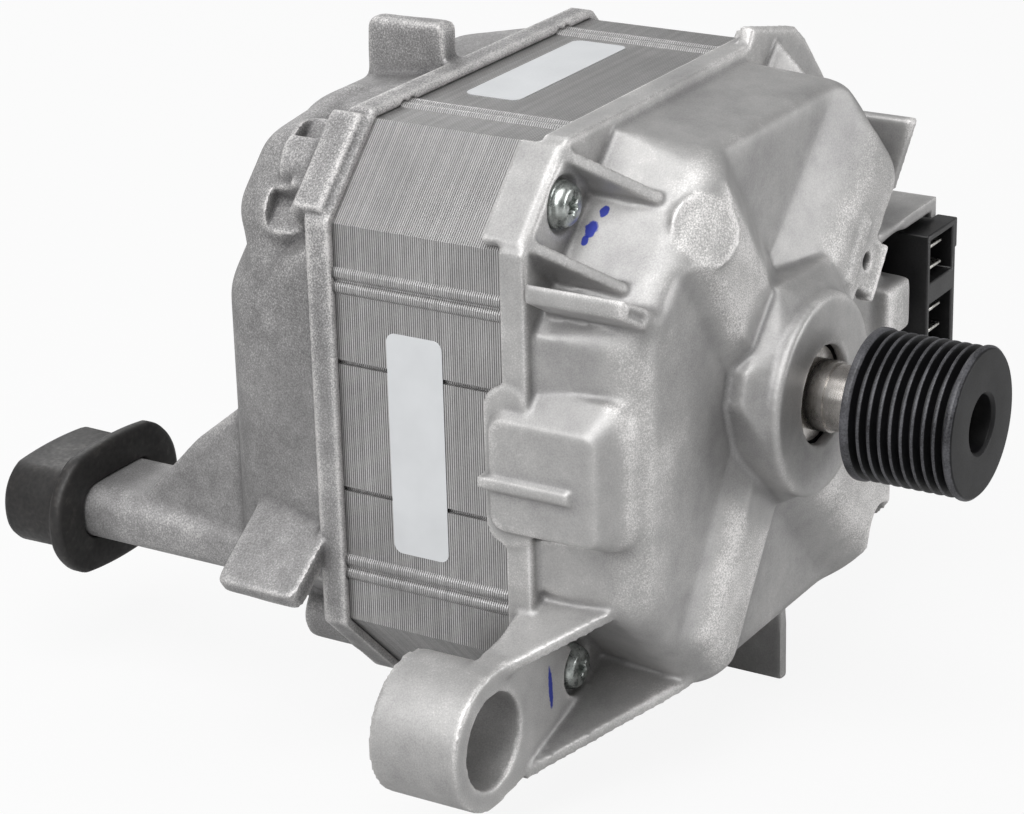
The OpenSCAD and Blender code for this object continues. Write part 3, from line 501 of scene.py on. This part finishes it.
# a copy of a CAD node's mesh, its points merged, changed by work and free of the CAD's own normals
def mergedCopy(node, work):
    mesh = nodes[node].data.copy()
    merged = bmesh.new()
    merged.from_mesh(mesh)
    bmesh.ops.remove_doubles(merged, verts=merged.verts, dist=mergeReach)
    work(merged)
    merged.to_mesh(mesh)
    merged.free()
    for name in [a.name for a in mesh.attributes if a.name == "custom_normal"]:
        mesh.attributes.remove(mesh.attributes[name])
    return mesh


# a CAD node, less its cutters and with its balls, as one closed mesh rebuilt from voxels
def voxelCopy(node, voxelMm, cutters, balls):
    def addBalls(merged):
        for middle, radius in balls:
            bmesh.ops.create_uvsphere(merged, u_segments=32, v_segments=20, radius=radius,
                                      matrix=Matrix.Translation(middle))

    holder = bpy.data.objects.new(node + "_voxels", mergedCopy(node, addBalls))
    bpy.context.scene.collection.objects.link(holder)
    for cutter in cutters:
        cut = holder.modifiers.new("window", "BOOLEAN")
        cut.operation = "DIFFERENCE"
        cut.use_self = True
        cut.object = cutter
    remesh = holder.modifiers.new("voxels", "REMESH")
    remesh.mode = "VOXEL"
    remesh.voxel_size = voxelMm * mm
    return holder


# replaces an object's mesh by what its modifiers make of it
def applyModifiers(holder):
    graph = bpy.context.evaluated_depsgraph_get()
    made = bpy.data.meshes.new_from_object(holder.evaluated_get(graph))
    holder.modifiers.clear()
    holder.data = made
    return made


def readPoints(mesh):
    points = np.empty(len(mesh.vertices) * 3)
    mesh.vertices.foreach_get("co", points)
    return points.reshape(-1, 3)


def readEdges(mesh):
    edges = np.empty(len(mesh.edges) * 2, np.int64)
    mesh.edges.foreach_get("vertices", edges)
    return edges.reshape(-1, 2)


# mean of each point's neighbours along the edges
def neighbourMean(values, edges, count):
    total = np.zeros_like(values)
    for k in range(values.shape[1]):
        total[:, k] = (np.bincount(edges[:, 0], values[edges[:, 1], k], len(values))
                       + np.bincount(edges[:, 1], values[edges[:, 0], k], len(values)))
    return total / count[:, None]


# moves points towards their neighbours' mean, then a little more back, so that edges round off
# but walls keep their thickness; weight tells how far each point may follow
def softenPoints(points, edges, weight, rounds, forth=0.6, back=-0.62):
    count = np.bincount(edges.ravel(), minlength=len(points)).astype(float)
    for _ in range(rounds):
        points = points + weight[:, None] * forth * (neighbourMean(points, edges, count) - points)
        if back:
            points = points + weight[:, None] * back * (neighbourMean(points, edges, count) - points)
    return points


# how far a surface stands out (edges) or in (corners) against its smoothed self, from -1 to 1
def edgeAmount(points, edges, normals, rounds, fullMm):
    smooth = softenPoints(points, edges, np.ones(len(points)), rounds, forth=0.8, back=0.0)
    height = np.einsum("ij,ij->i", points - smooth, normals) / (fullMm * mm)
    return np.clip(height, -1, 1)


def readNormals(mesh):
    normals = np.empty(len(mesh.vertices) * 3)
    mesh.vertices.foreach_get("normal", normals)
    return normals.reshape(-1, 3)


# from the frame of the upper left corner to the scene: out points away from the shaft, along lies
# along the shaft and side along the chamfer
def cornerPoints(points):
    out, along, side = np.asarray(points, float).T
    return np.stack([-(out + side) / math.sqrt(2) * mm, along * mm + stackMiddle,
                     (out - side) / math.sqrt(2) * mm], axis=1)


# box that opens a window of the corner a little wider
def windowCutter(v, middle):
    sides = (middle - v["half"], middle + v["half"])
    points = cornerPoints([[out, along, side] for out in v["out"] for along in v["along"] for side in sides])
    cutter = bpy.data.objects.new("window", bpy.data.meshes.new("window"))
    cutter.data.from_pydata(points.tolist(), [], [(0, 1, 3, 2), (4, 6, 7, 5), (0, 4, 5, 1), (2, 3, 7, 6),
                                                  (0, 2, 6, 4), (1, 5, 7, 3)])
    bpy.context.scene.collection.objects.link(cutter)
    return cutter


# balls in a row from one end to the other: they carry the dome over to the corner block and make
# the pocket of the guide bar shallow
def fillingBalls(rows, count=13):
    share = np.linspace(0, 1, count)[:, None]
    for start, end in rows:
        row = (1 - share) * np.array(start) + share * np.array(end)
        yield from zip(cornerPoints(row[:, :3]).tolist(), (row[:, 3] * mm).tolist())


# a shield: voxel copy, softened as its shape function says, given the attributes of its material
# and thinned to its number of triangles
def castShield(name, node, v, shape, finish):
    voxel = v["voxelMm"]
    cutters = [windowCutter(v["window"], across) for across in v["windows"]]
    holder = voxelCopy(node, voxel, cutters, fillingBalls(v["fills"]))
    mesh = applyModifiers(holder)
    for cutter in cutters:
        bpy.data.objects.remove(cutter)
    points, edges = readPoints(mesh), readEdges(mesh)
    weight, depth, blastedAndHighlight = shape(points, v)
    scale = (v["voxelMm"] / voxel) ** 2  # wider voxels need fewer rounds for the same rounding
    points = softenPoints(points, edges, depth, max(1, int(v["broadRounds"] * scale)),
                          forth=0.7, back=0.0)
    points = softenPoints(points, edges, weight, max(2, int(v["fineRounds"] * scale)))
    mesh.vertices.foreach_set("co", points.ravel())
    mesh.update()
    # the edge amount becomes painted highlight on edges and painted shade in corners; the blasted mask also
    # paints a highlight
    edge = edgeAmount(points, edges, readNormals(mesh), max(2, int(v["edgeRounds"] * scale)), v["edgeFullMm"])
    for label, share in (("edge", edge), ("blastedAndHighlight", blastedAndHighlight)):
        attribute = mesh.attributes.new(label, "FLOAT", "POINT")
        attribute.data.foreach_set("value", share.astype(np.float32))
    triangles = 2 * len(mesh.polygons)
    if triangles > v["triangles"]:
        thin = holder.modifiers.new("thin", "DECIMATE")
        thin.ratio = v["triangles"] / triangles
        mesh = applyModifiers(holder)
    bpy.data.objects.remove(holder)
    shadeByAngle(mesh, v["smoothAngle"])
    placePiece(name, mesh, finish, "motor_frame", [node])
    print(name, "made,", len(mesh.polygons), "faces")


# 0 below low, 1 above high, and t^2 (3 - 2 t) between them
def smoothStep(value, low, high):
    share = np.clip((value - low) / (high - low), 0, 1)
    return share * share * (3 - 2 * share)


# places in mm from the middle of the stack: across, along the shaft towards the front (way -1) or
# the back (way 1), and up
def fromStack(points, way):
    return points[:, 0] / mm, way * (points[:, 1] - stackMiddle) / mm, points[:, 2] / mm


frontValues = dict(
    voxelMm=0.62, quickVoxelMm=0.9, broadRounds=20, fineRounds=7, edgeRounds=10, edgeFullMm=0.4,
    triangles=190000, smoothAngle=50,
    windows=[], fills=[((69.6, -46.8, 18.6, 1.2), (63.8, -46.8, 16.8, 1.2))],
    follow=0.9, rimFrom=(24, 27), rimHold=0.7,
    domeFrom=(40, 46), domeInner=(29, 34), domeOuter=(62, 66), cornerFrom=(100, 106), cornerHold=0.9,
    pads=((-33.4, 43.9), (35.5, 17.0)), padHold=(9, 13),
    fieldBlastedAndHighlight=0.12, crestFrom=(48.9, 51.4), crestInner=(27, 31),
    shoulderFrom=(36, 46), shoulderOut=(70, 86), shoulderBlastedAndHighlight=0.45,
    wallFrom=(36, 44), wallInner=(28, 42), wallOuter=(59, 62), wallUp=(26, 34), wallBlastedAndHighlight=0.6,
    rimBlastedAndHighlightTo=(26, 30), rimBlastedAndHighlight=0.3, padFrom=(44, 47), padOuter=(6.5, 8.5), padBlastedAndHighlight=1.15)


# where the front shield's surface follows (the dome a lot, the nose, rim and ribs little), and how
# much it was blasted and painted lighter as a painted highlight (crests of the arms, round pad, left wall and
# upper left shoulder)
def frontShape(points, v):
    x, front, z = fromStack(points, -1)
    radius = np.hypot(x, z)
    weight = v["follow"] * (1 - v["rimHold"] * (1 - smoothStep(front, *v["rimFrom"])))
    dome = smoothStep(front, *v["domeFrom"]) * smoothStep(radius, *v["domeInner"])
    dome *= 1 - smoothStep(radius, *v["domeOuter"])
    for padX, padZ in v["pads"]:  # the round pad and the earth pad stay crisp
        dome *= smoothStep(np.hypot(x - padX, z - padZ), *v["padHold"])
    dome *= 1 - v["cornerHold"] * smoothStep(np.abs(x) + np.abs(z), *v["cornerFrom"])
    crest = smoothStep(front, *v["crestFrom"]) * smoothStep(radius, *v["crestInner"])
    shoulder = smoothStep(front, *v["shoulderFrom"]) * smoothStep(z - x, *v["shoulderOut"])
    wall = smoothStep(front, *v["wallFrom"]) * smoothStep(-x, *v["wallInner"])
    wall *= (1 - smoothStep(-x, *v["wallOuter"])) * (1 - smoothStep(np.abs(z), *v["wallUp"]))
    rim = 1 - smoothStep(front, *v["rimBlastedAndHighlightTo"])
    padX, padZ = v["pads"][0]
    pad = smoothStep(front, *v["padFrom"]) * (1 - smoothStep(np.hypot(x - padX, z - padZ), *v["padOuter"]))
    # this mask sets the blasted sparkle and roughness, and also paints a highlight into the colour
    blastedAndHighlight = np.max([v["fieldBlastedAndHighlight"] + (1 - v["fieldBlastedAndHighlight"]) * crest, v["shoulderBlastedAndHighlight"] * shoulder,
                      v["wallBlastedAndHighlight"] * wall, v["rimBlastedAndHighlight"] * rim, v["padBlastedAndHighlight"] * pad], axis=0)
    return weight, dome, blastedAndHighlight


castShield("frontShield", "front_shield", frontValues, frontShape, "frontCast")

rearValues = dict(
    voxelMm=0.66, quickVoxelMm=0.9, broadRounds=14, fineRounds=5, edgeRounds=10, edgeFullMm=0.4,
    triangles=180000, smoothAngle=50,
    windows=[-9.8, 9.8], window=dict(out=(66.5, 82), along=(30.2, 38.6), half=4.3),
    fills=[((58.9, 40, -4.6, 10.7), (51.5, 40, -23, 6.0)), ((58.9, 40, 4.6, 10.4), (50, 38, 25, 5.0))],
    follow=0.9, rimFrom=(24, 27), rimHold=0.7, cornerOut=(82, 90), cornerTo=(38, 42), cornerHold=0.7,
    wallFrom=(30, 40), wallDepth=0.6, blendOut=(62, 76), blendFrom=(40, 45),
    wallBlastedAndHighlight=0.35, blastedAndHighlightOut=(60, 84), blastedAndHighlightUp=(56, 64))


# the same for the rear shield: the far wall follows a lot, the rim and the windows of the corner
# block little; the upper left corner and the top were blasted most and are painted a little lighter, as a
# painted highlight
def rearShape(points, v):
    x, back, z = fromStack(points, 1)
    corner = smoothStep(z - x, *v["cornerOut"]) * (1 - smoothStep(back, *v["cornerTo"]))
    weight = v["follow"] * (1 - v["rimHold"] * (1 - smoothStep(back, *v["rimFrom"])))
    weight *= 1 - v["cornerHold"] * corner
    wall = smoothStep(back, *v["wallFrom"]) * v["wallDepth"] * (1 - corner)
    blend = smoothStep(z - x, *v["blendOut"]) * smoothStep(back, *v["blendFrom"])  # the fill meets the dome
    rough = np.maximum(smoothStep(z - x, *v["blastedAndHighlightOut"]), smoothStep(z, *v["blastedAndHighlightUp"]))
    return weight, np.maximum(wall, blend), v["wallBlastedAndHighlight"] + (1 - v["wallBlastedAndHighlight"]) * rough


castShield("rearShield", "rear_shield", rearValues, rearShape, "rearCast")

pulleyValues = dict(
    ribRadius=15.6, grooves=9, pitch=2.34, depth=2.1, rim=1.5, rimRadius=15.9, crest=0.30, root=0.24,
    rimStep=0.2, chamfer=0.7, boreRadius=6.0, boreChamfer=0.7, rounding=0.14, smoothAngle=30)


# profile of (radius, place) in mm: back face, plain rim, grooves between rounded ribs, plain rim,
# chamfered front, bore; a rib's crest ends half a pitch less crest from the groove's middle
def pulleyProfile(v):
    half = v["grooves"] * v["pitch"] / 2 + v["rim"]
    middle = half - v["rim"] - (np.arange(v["grooves"]) + 0.5) * v["pitch"]
    top = np.full_like(middle, v["ribRadius"])
    bottom = top - v["depth"]
    crest = v["pitch"] / 2 - v["crest"]
    walls = ((top, middle + crest), (bottom, middle + v["root"]),
             (bottom, middle - v["root"]), (top, middle - crest))
    groove = np.stack([np.stack(pair, axis=1) for pair in walls], axis=1)
    rim, bore = v["rimRadius"], v["boreRadius"]
    outline = [[bore, half], [rim, half], [rim, half - v["rim"] + v["rimStep"]]]
    outline += groove.reshape(-1, 2).tolist()
    outline += [[rim, -half + v["rim"] - v["rimStep"]], [rim, -half + v["chamfer"]],
                [rim - v["chamfer"], -half], [bore + v["boreChamfer"], -half],
                [bore, -half + v["boreChamfer"]]]
    return roundedProfile(np.array(outline), v["rounding"])


pulleyMesh = meshOfGrids("groovedPulley", [turnedGrid(pulleyProfile(pulleyValues))],
                         pulleyValues["smoothAngle"], wrapRows=True)
placePiece("groovedPulley", pulleyMesh, "oxide", "rotor", ["pulley"])
print("pulley made")

boltValues = dict(
    across=46.5, up=49.5, turnAcross=0.35, turnUp=0.8, seat=-24.0, headRadius=4.9, headHeight=3.6,
    shank=2.5, shankEnd=33.0, shankChamfer=0.5, starRadius=1.75, starLobe=0.33, starDepth=2.0, starTip=0.5,
    starFloor=[(0.5, 0), (0.93, 0), (1, -0.1)],
    mouth=[(0.04, 0.14), (0.14, 0.02)], domeOut=1.55, domeDown=1.9, domeSteps=10,
    side=[(-0.32, 2.25), (-0.05, 2.5), (0, 2.7)], under=(0.2, 0.25), columns=96, smoothAngle=40)


# head and shank as rows of (radius, place), where the star recess's rows have a radius that
# swells and shrinks six times round: r = starRadius + starLobe cos 6a
def boltGrid(v, x, z, turn):
    angle = np.linspace(0, 2 * math.pi, v["columns"], endpoint=False) + turn
    star = v["starRadius"] + v["starLobe"] * np.cos(6 * angle)
    head, shank, seat, end = v["headRadius"], v["shank"], v["seat"], v["shankEnd"]
    top = seat - v["headHeight"]
    floor = top + v["starDepth"]
    dome = np.linspace(0, math.pi / 2, v["domeSteps"])
    rows = [(0, floor + v["starTip"])] + [(star * share, floor + down) for share, down in v["starFloor"]]
    rows += [(star + out, top + down) for out, down in v["mouth"]]
    rows += [(head - v["domeDown"] + v["domeOut"] * math.sin(a),
              top + v["mouth"][-1][1] + v["domeDown"] * (1 - math.cos(a))) for a in dome]
    rows += [(head + out, top + down) for out, down in v["side"]]
    rows += [(head, seat - v["under"][1]), (head - v["under"][0], seat), (shank, seat),
             (shank, end - v["shankChamfer"]), (shank - v["shankChamfer"], end), (0, end)]
    radius = np.array([np.broadcast_to(r, len(angle)) for r, y in rows])
    place = stackMiddle / mm + np.array([[y] for r, y in rows])
    points = [x + radius * np.sin(angle), np.broadcast_to(place, radius.shape), z + radius * np.cos(angle)]
    return np.stack(points, axis=-1) * mm


boltGrids = [boltGrid(boltValues, sx * boltValues["across"], sz * boltValues["up"],
                      sx * boltValues["turnAcross"] + sz * boltValues["turnUp"])
             for sx in (-1, 1) for sz in (-1, 1)]
placePiece("starBolts", meshOfGrids("starBolts", boltGrids, boltValues["smoothAngle"]), "zinc", "motor_frame",
           ["through_bolts"])
print("bolts made")

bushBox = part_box("mount_bush")
bushValues = dict(
    middle=(-40.0, -38.3), armWidth=25.0, armHeight=12.5, armRound=5.0, wall=4.0, collarOut=4.2,
    collarThick=3.5, length=19.5, outFrom=1.5, outWider=1.0, cornerFlat=0.5, cornerPower=0.35, smoothAngle=50)


# outline of a flat oval: a box of half sizes a and b whose corners are arcs of radius r; the points
# are spread evenly over the angle t, with x = (a - r) min(1, cos t / power) + r cos t, and z alike
def ovalRow(halfWidth, halfHeight, radius, power, columns=160):
    angle = np.linspace(0, 2 * math.pi, columns, endpoint=False)
    across, up = halfWidth - radius, halfHeight - radius
    c, s = np.cos(angle), np.sin(angle)
    x = across * np.sign(c) * np.minimum(1, np.abs(c) / power) + radius * c
    z = up * np.sign(s) * np.minimum(1, np.abs(s) / power) + radius * s
    return np.stack([x, z], axis=1)


# rows of (grow, place): outside from the collar to the far end, then back through the hole; grow is
# how far a row lies outside the arm that the bush sits on
def bushGrid(v):
    body, collar, thick, length = v["wall"], v["wall"] + v["collarOut"], v["collarThick"], v["length"]
    outside = [(collar - 1.2, 0), (collar - 0.35, 0.25), (collar, 1.0), (collar, thick - 1.0),
               (collar - 0.35, thick - 0.25), (collar - 1.2, thick), (body + 0.9, thick + 0.15),
               (body + 0.25, thick + 0.6), (body, thick + 1.5), (body - 0.15, 9.0), (body, length - 1.6),
               (body - 0.4, length - 0.5), (body - 1.4, length)]
    inside = [(1.0, length), (0.3, length - 0.4), (0.0, length - 1.0), (0.0, 9.0), (0.0, 1.0), (0.3, 0.3),
              (1.0, 0.0)]
    rows = []
    for grow, place in outside + inside:
        halfWidth, halfHeight = v["armWidth"] / 2 + grow, v["armHeight"] / 2 + grow
        radius = v["armRound"] + grow
        if grow >= v["outFrom"]:
            halfWidth += v["outWider"]
            radius = halfHeight - v["cornerFlat"]
        radius = min(radius, halfWidth, halfHeight)
        row = ovalRow(halfWidth, halfHeight, radius, v["cornerPower"])
        rows.append(np.stack([v["middle"][0] + row[:, 0], np.full(len(row), bushBox[0].y / mm + place),
                              v["middle"][1] + row[:, 1]], axis=1))
    return np.array(rows) * mm


bushMesh = meshOfGrids("rubberBush", [bushGrid(bushValues)], bushValues["smoothAngle"], wrapRows=True)
placePiece("rubberBush", bushMesh, "rubber", "motor_frame", ["mount_bush"])
print("bush made")

bevelValues = dict(segments=2, bevelAngle=40, smoothAngle=35, flatAngle=1)


# a merged copy of a node, its flat faces joined again, with a narrow bevel round its edges
def bevelledCopy(name, node, widthMm, finish, v):
    def joinFlats(merged):
        bmesh.ops.dissolve_limit(merged, angle_limit=math.radians(v["flatAngle"]), verts=merged.verts,
                                 edges=merged.edges)

    mesh = mergedCopy(node, joinFlats)
    piece = placePiece(name, mesh, finish, "motor_frame", [node])
    bevel = piece.modifiers.new("edges", "BEVEL")
    bevel.width = widthMm * mm
    bevel.segments = v["segments"]
    bevel.limit_method = "ANGLE"
    bevel.angle_limit = math.radians(v["bevelAngle"])
    bevel.use_clamp_overlap = True
    shadeByAngle(mesh, v["smoothAngle"])


bevelledCopy("connectorHousing", "connector_housing", 0.35, "blackPlastic", bevelValues)
bevelledCopy("connectorTabs", "connector_tabs", 0.2, "tin", bevelValues)
print("connector made")


# matrix whose columns are the three unit vectors, at a place
def matrixOf(columns, place):
    matrix = Matrix([[*row] for row in np.stack(columns, axis=1)]).to_4x4()
    matrix.translation = place
    return matrix


viewValues = dict(place=(-0.5538, -0.24267, 0.2400), azimuth=-58.39, elevation=21.52, roll=-1.52, lens=112.5,
                  sensor=36, clip=(0.05, 20))


# camera that looks along azimuth and elevation and is then rolled round its own axis, in degrees
def addCamera(v):
    az, el, roll = (math.radians(v[k]) for k in ("azimuth", "elevation", "roll"))
    right = np.array([math.cos(az), math.sin(az), 0.0])
    ahead = np.array([-math.sin(az) * math.cos(el), math.cos(az) * math.cos(el), -math.sin(el)])
    up = np.cross(right, ahead)
    turnedRight = math.cos(roll) * right + math.sin(roll) * up
    turnedUp = -math.sin(roll) * right + math.cos(roll) * up
    camera = bpy.data.objects.new("camera", bpy.data.cameras.new("camera"))
    bpy.context.scene.collection.objects.link(camera)
    camera.data.lens = v["lens"]
    camera.data.sensor_width = v["sensor"]
    camera.matrix_world = matrixOf((turnedRight, turnedUp, -ahead), v["place"])
    camera.data.clip_start, camera.data.clip_end = v["clip"]
    bpy.context.scene.camera = camera


addCamera(viewValues)

lampTarget = (0.0, 0.09, 0.0)  # the motor's middle
lampValues = {  # place, size and power of each soft box; they all look at the target
    "topSoftbox": dict(place=(-0.55, -0.05, 1.25), size=(1.0, 0.8), power=13.0),
    "leftSoftbox": dict(place=(-1.2, 0.2, 0.75), size=(0.9, 0.7), power=10.5),
    "frontRightSoftbox": dict(place=(0.6, -1.15, 0.12), size=(0.5, 0.6), power=7.0),
    "rearRim": dict(place=(0.6, 1.0, 0.7), size=(0.7, 0.7), power=5.0),
}


def addLamp(name, v):
    lamp = bpy.data.lights.new(name, "AREA")
    lamp.shape = "RECTANGLE"
    lamp.size, lamp.size_y = v["size"]
    lamp.energy = v["power"]
    holder = bpy.data.objects.new(name, lamp)
    bpy.context.scene.collection.objects.link(holder)
    back = np.array(v["place"]) - np.array(lampTarget)
    back /= np.linalg.norm(back)
    side = np.cross([0, 0, 1], back)
    side /= np.linalg.norm(side)
    holder.matrix_world = matrixOf((side, np.cross(back, side), back), v["place"])


for name, values in lampValues.items():
    addLamp(name, values)

worldValues = dict(colour="#FFFFFF", strength=0.31, seen=1.0)


# the world lights evenly, and shows white to the camera
def addWorld(v):
    world = bpy.data.worlds.new("studio")
    bpy.context.scene.world = world
    world.use_nodes = True
    tree = world.node_tree
    tree.nodes.clear()
    rays = addNode(tree, "ShaderNodeLightPath").outputs["Is Camera Ray"]
    lit = addNode(tree, "ShaderNodeBackground", {"Color": linearOf(v["colour"]), "Strength": v["strength"]})
    white = addNode(tree, "ShaderNodeBackground", {"Color": linearOf(v["colour"]), "Strength": v["seen"]})
    mixed = addNode(tree, "ShaderNodeMixShader", {0: rays, 1: lit.outputs[0], 2: white.outputs[0]})
    addNode(tree, "ShaderNodeOutputWorld", {"Surface": mixed.outputs[0]})


addWorld(worldValues)

floorValues = dict(drop=0.0005, reach=4.0, paint="#C4C4C4", glow="#FFFFFF", glowStrength=1.0, glowShare=0.9)


# a wide pale floor just below the lowest point; the camera sees it almost white, with the shadow
def addFloor(v):
    reach, below = v["reach"], cadBox[0].z - v["drop"]
    mesh = bpy.data.meshes.new("floor")
    corners = [(-reach, -reach, below), (reach, -reach, below), (reach, reach, below), (-reach, reach, below)]
    mesh.from_pydata(corners, [], [(0, 1, 2, 3)])
    floor = bpy.data.objects.new("floor", mesh)
    bpy.context.scene.collection.objects.link(floor)
    material = bpy.data.materials.new("paleFloor")
    material.use_nodes = True
    tree = material.node_tree
    tree.nodes.clear()
    rays = addNode(tree, "ShaderNodeLightPath").outputs["Is Camera Ray"]
    paint = addNode(tree, "ShaderNodeBsdfDiffuse", {"Color": linearOf(v["paint"])})
    glow = addNode(tree, "ShaderNodeEmission", {"Color": linearOf(v["glow"]), "Strength": v["glowStrength"]})
    share = compute(tree, "MULTIPLY", rays, v["glowShare"])
    mixed = addNode(tree, "ShaderNodeMixShader", {0: share, 1: paint.outputs[0], 2: glow.outputs[0]})
    addNode(tree, "ShaderNodeOutputMaterial", {"Surface": mixed.outputs[0]})
    mesh.materials.append(material)


addFloor(floorValues)
print("camera, lamps and floor made")

bpy.context.scene.view_settings.view_transform = "Standard"
